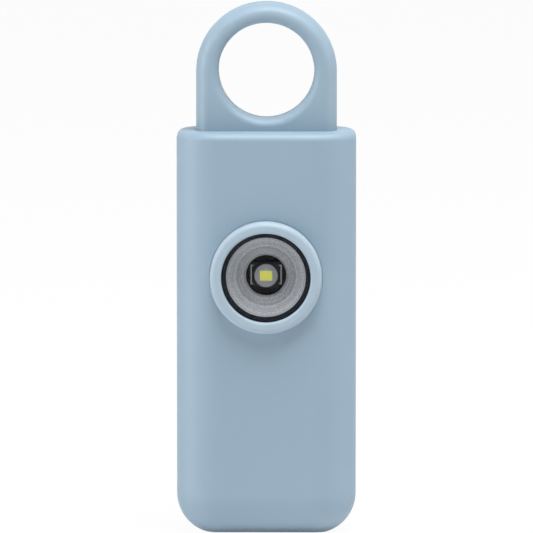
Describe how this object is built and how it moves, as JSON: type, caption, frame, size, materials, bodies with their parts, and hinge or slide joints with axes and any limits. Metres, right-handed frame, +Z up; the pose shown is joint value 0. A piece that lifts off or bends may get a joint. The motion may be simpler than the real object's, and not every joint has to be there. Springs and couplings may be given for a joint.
{
  "type": "personal safety alarm",
  "caption": "Pocket siren with a rounded plastic body, a pull ring on top that draws a pin out of a switch, and a raised push button on the front that holds a light.",
  "frame": {"origin": "middle of the flat base that the alarm stands on", "axes": "+Z up through the pull ring, -Y out of the front face with the button, +X to the right as seen from the front"},
  "size_m": [0.033, 0.0226, 0.0979],
  "materials": {
    "shell_blue": "fine matte moulding, pale grey blue",
    "ring_blue": "fine matte moulding, paler grey blue",
    "lens_clear": "clear, polished",
    "gasket_black": "smooth black",
    "reflector_metal": "turned, with concentric tool marks",
    "black_plastic": "moulded, satin",
    "board_green": "solder mask, satin",
    "board_black": "black solder mask, satin",
    "light_ceramic": "dark ceramic, matte",
    "die_yellow": "phosphor, smooth",
    "dome_clear": "clear silicone, polished",
    "bright_steel": "nickel plated",
    "cell_can": "bright drawn can",
    "spring_brass": "rolled sheet",
    "sounder_white": "silvered ceramic, matte",
    "bead_clear": "translucent silicone",
    "lead_red": "insulated lead, satin",
    "coil_ferrite": "ground ferrite",
    "capacitor_sleeve": "shrunk sleeve"
  },
  "bodies": {
    "case": {"front_shell": "shell_blue", "back_cover": "shell_blue", "battery_door": "shell_blue", "pin_socket": "black_plastic", "driver_chip": "black_plastic", "battery_holder": "black_plastic", "coil_sleeve": "black_plastic", "main_board": "board_green", "light_board": "board_black", "light_base": "light_ceramic", "light_die": "die_yellow", "light_dome": "dome_clear", "case_screws": "bright_steel", "door_screw": "bright_steel", "switch_bodies": "bright_steel", "board_screws": "bright_steel", "light_tabs": "bright_steel", "negative_contact": "bright_steel", "positive_contact": "bright_steel", "coin_cells": "cell_can", "shunt_contact": "spring_brass", "sounder_plate": "spring_brass", "sounder_ceramic": "sounder_white", "sounder_bead": "bead_clear", "sounder_leads": "lead_red", "coil_core": "coil_ferrite", "capacitor": "capacitor_sleeve"},
    "ring": {"pull_ring": "ring_blue", "trigger_pin": "bright_steel"},
    "button": {"button_ring": "ring_blue", "lens": "lens_clear", "lens_gasket": "gasket_black", "reflector": "reflector_metal", "reflector_retainer": "black_plastic", "switch_plungers": "black_plastic"},
    "leaf": {"contact_leaf": "spring_brass"}
  },
  "joints": [
    {"name": "ring_pull", "type": "slide", "parent": "case", "child": "ring", "axis": [0, 0, 1], "range_m": [0, 0.03]},
    {"name": "button_push", "type": "slide", "parent": "case", "child": "button", "axis": [0, 1, 0], "range_m": [0, 0.0005], "stiffness_N_per_m": 2000, "springref_m": -0.0003},
    {"name": "leaf_swing", "type": "hinge", "parent": "case", "child": "leaf", "pos_m": [0.0034, 0, 0.0674], "axis": [0, 1, 0], "range_deg": [0, 4]}
  ],
  "couplings": [
    {"joint": "leaf_swing", "follows": "ring_pull", "rad_per_m": 2.3}
  ]
}
